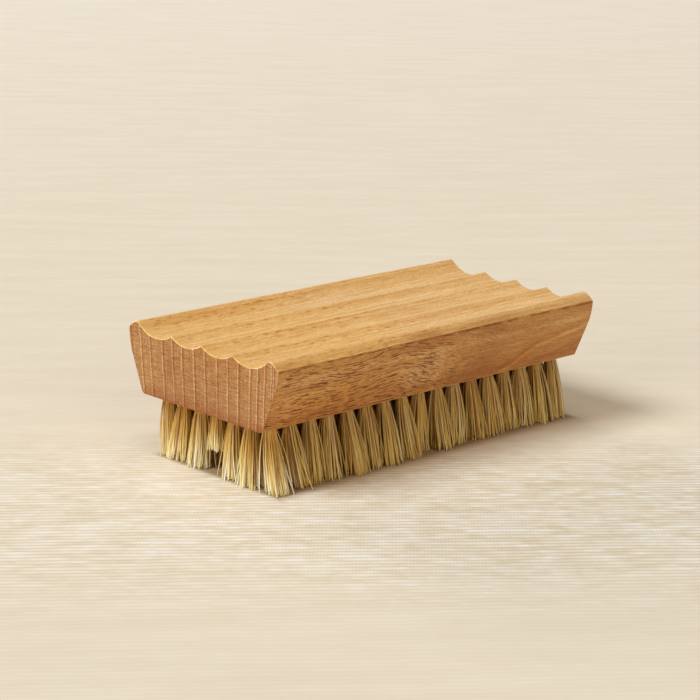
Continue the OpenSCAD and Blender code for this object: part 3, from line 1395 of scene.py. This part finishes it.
@dataclass
class Block:
    """The one-piece beech block."""

    end_wear: float = 0.12 * MM
    edge_wear: float = 0.12 * MM
    edge_steps: int = 2
    sharp: float = math.radians(30.0)
    flat: float = math.radians(0.2)
    end_facing: float = 0.99
    overrun: float = 1.0 * MM
    hole_facets: int = 20
    same_height: float = 0.001 * MM
    flutes: Flutes = field(default_factory=Flutes)
    grid: TuftGrid = field(default_factory=TuftGrid)
    finish: Beech = field(default_factory=Beech)

    @property
    def section(self) -> Section:
        """The cross-section, which the grid of holes is laid out on."""
        return self.grid.section

    def saw_blank(self) -> Bench:
        """Saw the blank and shape its sides.

        Returns:
            The blank on the bench, without its end wear.
        """
        section = self.section
        middle = (0.0, 0.0, (section.underside + section.top) / 2)
        size = (section.length - 2 * self.end_wear, section.width, section.thickness)
        bpy.ops.mesh.primitive_cube_add(size=1.0, location=middle, scale=size)
        bench = Bench.take_new("beech_block")
        rings = section.rings()
        with bench.editing():
            for _, height in rings[1:-1]:
                bpy.ops.mesh.select_all(action="SELECT")
                bpy.ops.mesh.bisect(plane_co=(0.0, 0.0, height), plane_no=(0.0, 0.0, 1.0))
            for half, height in rings:
                bench.pick(Pick.POINTS, lambda point: abs(point.co.z - height) < self.same_height)
                bpy.ops.transform.resize(value=(1.0, 2 * half / section.width, 1.0))
        return bench

    def cut_flutes(self, bench: Bench) -> None:
        """Run the round cutter along the top, once for each flute.

        Args:
            bench: the bench with the blank.
        """
        for y, z in self.flutes.centres(self.section):
            bpy.ops.mesh.primitive_cylinder_add(
                vertices=self.flutes.facets,
                radius=self.flutes.radius,
                depth=self.section.length + 2 * self.overrun,
                location=(0.0, y, z),
                rotation=(0.0, math.pi / 2, 0.0),
            )
            bench.cut(Bench.take_new("flute_cutter").piece)

    def wear_edges(self, bench: Bench) -> None:
        """Break the ends all round, and soften the ridges, lands and creases.

        Args:
            bench: the bench with the fluted block.
        """
        with bench.editing():
            bpy.ops.mesh.select_all(action="SELECT")
            bpy.ops.mesh.dissolve_limited(angle_limit=self.flat)
            bench.pick(Pick.FACES, lambda face: abs(face.normal.x) > self.end_facing)
            bpy.ops.mesh.inset(thickness=self.end_wear, depth=self.end_wear)
            bench.pick(Pick.EDGES, self._is_long_edge)
            bpy.ops.mesh.bevel(
                offset=self.edge_wear, segments=self.edge_steps, affect="EDGES", clamp_overlap=False
            )

    def _is_long_edge(self, edge: bmesh.types.BMEdge) -> bool:
        """Tell whether an edge is a sharp one that runs from end to end."""
        run = abs(edge.verts[0].co.x - edge.verts[1].co.x)
        return run > self.section.length / 2 and edge.calc_face_angle(0.0) > self.sharp

    def drill(self, bench: Bench) -> None:
        """Drill the holes, all with one drill that is modelled once and copied.

        Args:
            bench: the bench with the block.
        """
        bpy.ops.mesh.primitive_cylinder_add(
            vertices=self.hole_facets,
            radius=self.grid.hole_radius,
            depth=self.grid.hole_depth + self.overrun,
            location=(0.0, 0.0, (self.grid.hole_depth - self.overrun) / 2),
        )
        drill = Bench.take_new("drill")
        cutters = bmesh.new()
        for column in range(self.grid.columns):
            for row in range(self.grid.rows):
                one = drill.piece.data.copy()
                one.transform(self.grid.hole_frame(column, row))
                cutters.from_mesh(one)
                bpy.data.meshes.remove(one)
        cutters.to_mesh(drill.piece.data)
        cutters.free()
        bench.cut(drill.piece)

    def smooth(self, bench: Bench) -> None:
        """Shade the arcs smooth and keep the flats flat.

        Args:
            bench: the bench with the block.
        """
        bench.hold()
        bpy.ops.object.shade_smooth_by_angle(angle=self.sharp)
        flat = bench.piece.modifiers.new("flats", "WEIGHTED_NORMAL")
        flat.keep_sharp = True
        bench.apply(flat)

    def build(self) -> bpy.types.Object:
        """Make the block and dress it.

        Returns:
            The finished piece.
        """
        bench = self.saw_blank()
        self.cut_flutes(bench)
        self.wear_edges(bench)
        self.drill(bench)
        self.smooth(bench)
        block = bench.piece
        block.data.materials.clear()
        block.data.materials.append(self.finish.material())
        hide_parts("block")
        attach(block, "root")
        return block


@dataclass(frozen=True)
class Settled:
    """A tuft that use has set another way than its hole points: its extra lean, and its width."""

    column: int
    row: int
    lean: tuple[float, float]
    width: float


@dataclass
class Bristles:
    """The tufts, a piece for each column of seven."""

    fibre_radius: float = 0.126 * MM
    fibre_sizes: Span = (0.8, 1.2)
    fibre_sides: int = 4
    stations: tuple[float, ...] = (-0.41, 0.0, 0.25, 0.5, 0.75, 1.0)
    tip_taper: float = 0.8
    fibres: tuple[int, int] = (96, 110)
    rim_pull: float = 0.42
    tuft_facing: float = 0.45
    root_spread: float = 1.16 * MM
    root_drift: float = 0.03 * MM
    tip_spread: float = 2.5 * MM
    squareness: float = 0.8
    tip_share: Span = (0.92, 1.1)
    opening: float = 0.8
    clumps: tuple[int, int] = (8, 14)
    clump_reach: float = 0.9
    clump_pull: float = 0.3
    strongest_pull: float = 0.8
    tuft_lean: float = math.radians(2.6)
    sweep: Span = (math.radians(-0.5), math.radians(-1.2))
    fibre_drift: float = 0.4 * MM
    bend: float = 0.25 * MM
    stray_share: float = 0.04
    stray_reach: float = 0.8 * MM
    uneven: float = 0.36 * MM
    deepest_gap: float = 1.1 * MM
    settled: tuple[Settled, ...] = (
        Settled(0, 6, (math.radians(0.0), math.radians(-12.5)), 0.58),
        Settled(0, 0, (math.radians(-1.0), math.radians(-1.0)), 0.96),
        Settled(16, 0, (math.radians(-8.0), math.radians(0.0)), 0.76),
        Settled(16, 1, (math.radians(8.0), math.radians(-6.0)), 1.2),
    )
    seed: int = 1194
    cells: int = 32
    cell_edge: float = 0.12
    cap_height: float = 0.04
    grid: TuftGrid = field(default_factory=TuftGrid)
    finish: Bristle = field(default_factory=Bristle)

    def model_fibre(self) -> bpy.types.Object:
        """Model the one fibre that all the others are copies of, one unit long and hanging down.

        Returns:
            The fibre, closed at both ends.
        """
        bpy.ops.mesh.primitive_circle_add(
            vertices=self.fibre_sides, radius=1.0, fill_type="NGON", location=(0.0, 0.0, -self.stations[0])
        )
        bench = Bench.take_new("fibre")
        with bench.editing():
            bpy.ops.mesh.select_all(action="SELECT")
            for above, below in zip(self.stations, self.stations[1:]):
                step = {"value": (0.0, 0.0, above - below)}
                bpy.ops.mesh.extrude_region_move(TRANSFORM_OT_translate=step)
            bpy.ops.transform.resize(value=(self.tip_taper, self.tip_taper, 1.0))
            bpy.ops.mesh.select_all(action="SELECT")
            bpy.ops.mesh.normals_make_consistent(inside=False)
        return bench.piece

    @staticmethod
    def _sunflower(count: int, turn: float, power: float = 0.5) -> np.ndarray:
        """Spread points over a disc of radius 1.

        Args:
            count: how many points.
            turn: angle of the first one, in radians.
            power: 0.5 spreads them evenly, and less draws them towards the rim.

        Returns:
            The points, one a row.
        """
        golden = math.pi * (3 - math.sqrt(5))
        numbers = np.arange(count)
        radius = ((numbers + 0.5) / count) ** power
        angle = turn + golden * numbers
        return np.stack([radius * np.cos(angle), radius * np.sin(angle)], 1)

    def lay_tuft(
        self, column: int, row: int, rng: np.random.Generator
    ) -> tuple[np.ndarray, np.ndarray, np.ndarray]:
        """Lay out the fibres of one tuft.

        Args:
            column: number of the tuft's column.
            row: number of its row.
            rng: the seeded random numbers.

        Returns:
            Of each fibre, the centre line with a point for each station, the place in the tuft,
            and the tone.
        """
        grid = self.grid
        count = int(rng.integers(*self.fibres))
        set_way = [one for one in self.settled if (one.column, one.row) == (column, row)]
        extra = set_way[0].lean if set_way else (0.0, 0.0)
        width = set_way[0].width if set_way else rng.uniform(*self.tip_share)
        spots = self._sunflower(count, rng.uniform(0, 2 * math.pi), self.rim_pull)
        root = spots * self.root_spread + rng.normal(0, self.root_drift, (count, 2))
        clumps = self._sunflower(int(rng.integers(*self.clumps)), rng.uniform(0, 2 * math.pi))
        clumps *= self.clump_reach
        gaps = np.linalg.norm(spots[:, None] - clumps[None], axis=2)
        nearest = clumps[gaps.argmin(1)]
        pull = rng.uniform(0, 2 * self.clump_pull, (count, 1))
        square = np.linalg.norm(spots, axis=1) / np.abs(spots).max(1)
        tip = (spots + (nearest - spots) * np.minimum(pull, self.strongest_pull)) * self.tip_spread * width
        tip *= (square**self.squareness)[:, None]
        tip += rng.normal(0, self.fibre_drift, (count, 2))
        strays = rng.random((count, 1)) < self.stray_share
        tip += strays * rng.normal(0, self.stray_reach, (count, 2))
        bend = rng.normal(0, self.bend, (count, 2))
        length = grid.free_length(column, row)
        short_of = np.minimum(np.abs(rng.normal(0, self.uneven, count)), self.deepest_gap)
        hole_slope = np.tan(np.array(grid.leans(column, row)))
        slope = np.tan(np.arctan(hole_slope) + self.sweep + extra + rng.normal(0, self.tuft_lean, 2))
        mouth = np.array(grid.mouth(column, row))
        lines = np.zeros((count, len(self.stations), 3))
        for place, share in enumerate(self.stations):
            out = max(share, 0.0)
            free = share > 0
            below = share * (length - short_of) if free else np.full(count, share * grid.bristle_length)
            spread = out**self.opening * length / grid.bristle_length
            side = root + (tip - root) * spread + bend * math.sin(math.pi * out)
            lines[:, place, :2] = mouth[:2] + side + below[:, None] * (slope if free else hole_slope)
            lines[:, place, 2] = mouth[2] - below
        return lines, spots, rng.random(count)

    def copy_fibres(
        self,
        name: str,
        fibre: bpy.types.Object,
        lines: np.ndarray,
        spots: np.ndarray,
        tones: np.ndarray,
        rng: np.random.Generator,
    ) -> bpy.types.Object:
        """Copy the fibre along every centre line of a column.

        Twelve thousand fibres are too many for operators, so the copies are made in mesh code. A
        real bristle lets light through and passes it on round the tuft, so each fibre is shaded
        partly as the side of its tuft that it stands on.

        Args:
            name: the name of the new piece.
            fibre: the fibre that was modelled.
            lines: centre line of each fibre.
            spots: place of each fibre in its tuft, 1 at the rim.
            tones: tone of each fibre.
            rng: the seeded random numbers.

        Returns:
            The piece, with its finish's two numbers and a map for baking.
        """
        mesh = fibre.data
        model = np.array([point.co for point in mesh.vertices])
        heights = -np.array(self.stations)
        station = np.abs(model[:, 2:3] - heights[None]).argmin(1)
        faces = [list(face.vertices) for face in mesh.polygons]
        count, points = len(lines), len(model)
        turn = rng.uniform(0, 2 * math.pi, count)
        size = self.fibre_radius * rng.uniform(*self.fibre_sizes, count)
        cos, sin = np.cos(turn)[:, None], np.sin(turn)[:, None]
        out = np.zeros((count, points, 3))
        out[:, :, 0] = cos * model[None, :, 0] - sin * model[None, :, 1]
        out[:, :, 1] = sin * model[None, :, 0] + cos * model[None, :, 1]
        made = lines[:, station, :] + out * size[:, None, None]
        made[:, :, 2] = np.maximum(made[:, :, 2], 0.0)
        facing = out * (1 - self.tuft_facing)
        facing[:, :, :2] += self.tuft_facing * spots[:, None, :]
        every = [[corner + number * points for corner in face] for number in range(count) for face in faces]
        copied = bpy.data.meshes.new(name)
        copied.from_pydata(made.reshape(-1, 3).tolist(), [], every)
        piece = bpy.data.objects.new(name, copied)
        bpy.context.scene.collection.objects.link(piece)
        tone = copied.attributes.new(self.finish.tone_name, "FLOAT", "POINT")
        tone.data.foreach_set("value", np.repeat(tones, points).astype(np.float32))
        along = copied.attributes.new(self.finish.along_name, "FLOAT", "POINT")
        share = np.clip(np.array(self.stations), 0, 1)[station]
        along.data.foreach_set("value", np.tile(share, count).astype(np.float32))
        self._map_fibres(copied, mesh, station, count)
        copied.shade_smooth()
        copied.normals_split_custom_set_from_vertices(facing.reshape(-1, 3).tolist())
        return piece

    def _map_fibres(
        self, copied: bpy.types.Mesh, model: bpy.types.Mesh, station: np.ndarray, count: int
    ) -> None:
        """Give each fibre a cell of its own on the baking map, root to tip up the cell.

        Args:
            copied: the mesh of the column.
            model: the mesh of the one fibre.
            station: number of the station that each point of the fibre belongs to.
            count: how many fibres the column has.
        """
        last = len(self.stations) - 1
        step = 2 * math.pi / self.fibre_sides
        angles = [math.atan2(point.co.y, point.co.x) for point in model.vertices]
        turns = [round(angle / step) % self.fibre_sides for angle in angles]
        spots: list[tuple[float, float]] = []
        for face in model.polygons:
            corners = list(face.vertices)
            around = {turns[corner] for corner in corners}
            for number, corner in enumerate(corners):
                across = float((turns[corner] + 1) % self.fibre_sides not in around)
                up = station[corner] / last
                # A cap has corners all round the fibre, so it is laid out as a low strip at its end.
                if len(around) > 2:
                    across, up = float(number in (1, 2)), abs(up - self.cap_height * (number // 2))
                spots.append((across, up))
        one = self.cell_edge + (1 - 2 * self.cell_edge) * np.array(spots)
        numbers = np.arange(count)
        corner = np.stack([numbers % self.cells, numbers // self.cells], 1)
        every = (corner[:, None, :] + one[None]) / self.cells
        layer = copied.uv_layers.new(name=SCRATCH_UV)
        layer.data.foreach_set("uv", every.reshape(-1).astype(np.float32))

    def build(self) -> list[bpy.types.Object]:
        """Make the columns and dress them.

        Returns:
            The finished pieces.
        """
        fibre = self.model_fibre()
        finish = self.finish.material()
        columns: list[bpy.types.Object] = []
        for column in range(self.grid.columns):
            rng = np.random.default_rng(self.seed + column)
            tufts = [self.lay_tuft(column, row, rng) for row in range(self.grid.rows)]
            lines, spots, tones = (np.concatenate(parts) for parts in zip(*tufts))
            piece = self.copy_fibres(f"bristles_{column + 1:02d}", fibre, lines, spots, tones, rng)
            piece.data.materials.append(finish)
            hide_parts(f"tuft_column_{column + 1:02d}")
            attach(piece, "root")
            columns.append(piece)
        bpy.data.meshes.remove(fibre.data)
        return columns


@dataclass
class Anchors:
    """The flat wire anchors, which keep the shape that the CAD gives them."""

    finish: AnchorWire = field(default_factory=AnchorWire)

    def dress(self) -> list[bpy.types.Object]:
        """Give the anchors their finish.

        Returns:
            The dressed nodes.
        """
        finish = self.finish.material()
        nodes = [node for name, node in sorted(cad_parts.items()) if name.startswith("anchor_column")]
        for node in nodes:
            node.data.materials.clear()
            node.data.materials.append(finish)
        return nodes


@dataclass(frozen=True)
class Softbox:
    """A round softbox: where its light comes from, its share of the light on the floor, its width."""

    name: str
    azimuth: float
    height: float
    share: float
    width: float
    colour: Colour


@dataclass
class Studio:
    """The floor, the softboxes, the even light of the room, and the camera."""

    floor_size: float = 12.0
    lamp_distance: float = 9.0
    lamps: tuple[Softbox, ...] = (
        Softbox("key", math.radians(160.0), math.radians(50.0), 0.565, 4.2, (0.93, 1.0, 1.07)),
        Softbox("overhead", math.radians(290.0), math.radians(82.0), 0.213, 6.0, (1.10, 1.0, 0.90)),
        Softbox("front", math.radians(250.0), math.radians(24.0), 0.106, 6.5, (1.10, 1.0, 0.90)),
        Softbox("left", math.radians(182.0), math.radians(14.0), 0.043, 3.4, (1.10, 1.0, 0.90)),
        Softbox("back", math.radians(85.0), math.radians(15.0), 0.09, 3.8, (1.10, 1.0, 0.90)),
    )
    room: float = 0.048
    room_colour: Colour = (1.10, 1.0, 0.90)
    azimuth: float = math.radians(-44.625)
    elevation: float = math.radians(15.043)
    roll: float = math.radians(1.651)
    distance: float = 501.918 * MM
    offset: tuple[float, float] = (-3.293 * MM, 18.023 * MM)
    lens: float = 118.2
    sensor: float = 36.0
    clip: float = 0.01
    finish: FloorCloth = field(default_factory=FloorCloth)

    def lay_floor(self) -> None:
        """Lay the floor that the brush stands on."""
        bpy.ops.mesh.primitive_plane_add(size=self.floor_size, location=(0.0, 0.0, 0.0))
        floor = Bench.take_new("floor").piece
        floor.data.materials.append(self.finish.material())

    def hang(self, box: Softbox) -> None:
        """Hang a softbox, with the power that gives its share of the light on the floor.

        Args:
            box: the softbox.
        """
        level = math.cos(box.height)
        way = Vector((level * math.cos(box.azimuth), level * math.sin(box.azimuth), math.sin(box.height)))
        data = bpy.data.lights.new(box.name, "AREA")
        data.shape = "DISK"
        data.size = box.width
        data.color = box.colour
        data.energy = box.share * math.pi**2 * self.lamp_distance**2 / way.z
        lamp = bpy.data.objects.new(box.name, data)
        lamp.location = way * self.lamp_distance
        lamp.rotation_euler = (-way).to_track_quat("-Z", "Y").to_euler()
        bpy.context.scene.collection.objects.link(lamp)

    def light_room(self) -> None:
        """Fill the room with even light."""
        world = bpy.data.worlds.new("room")
        world.use_nodes = True
        sky = world.node_tree.nodes["Background"]
        sky.inputs["Color"].default_value = (*self.room_colour, 1.0)
        sky.inputs["Strength"].default_value = self.room
        bpy.context.scene.world = world

    def set_camera(self) -> None:
        """Stand the camera where the photograph was taken from."""
        sin_a, cos_a = math.sin(self.azimuth), math.cos(self.azimuth)
        sin_e, cos_e = math.sin(self.elevation), math.cos(self.elevation)
        back = Vector((sin_a * cos_e, -cos_a * cos_e, sin_e))
        level = Vector((cos_a, sin_a, 0.0))
        rise = back.cross(level)
        right = math.cos(self.roll) * level + math.sin(self.roll) * rise
        up = math.cos(self.roll) * rise - math.sin(self.roll) * level
        place = back * self.distance + right * self.offset[0] + up * self.offset[1]
        data = bpy.data.cameras.new("camera")
        data.lens = self.lens
        data.sensor_width = self.sensor
        data.clip_start = self.clip
        camera = bpy.data.objects.new("camera", data)
        camera.matrix_world = Matrix.Translation(place) @ Matrix((right, up, back)).transposed().to_4x4()
        bpy.context.scene.collection.objects.link(camera)
        bpy.context.scene.camera = camera

    def build(self) -> None:
        """Set up the whole studio."""
        self.lay_floor()
        for box in self.lamps:
            self.hang(box)
        self.light_room()
        self.set_camera()
        bpy.context.scene.view_settings.view_transform = "Standard"


def report(piece: bpy.types.Object) -> None:
    """Log a piece's name and its number of faces."""
    LOG.info("%s: %d faces", piece.name, len(piece.data.polygons))


def main() -> None:
    """Build the brush and its studio in order, and log each piece."""
    logging.basicConfig(level=logging.INFO, format="%(name)s: %(message)s")
    report(Block().build())
    for column in Bristles().build():
        report(column)
    for anchors in Anchors().dress():
        report(anchors)
    Studio().build()


if __name__ == "__main__":
    main()
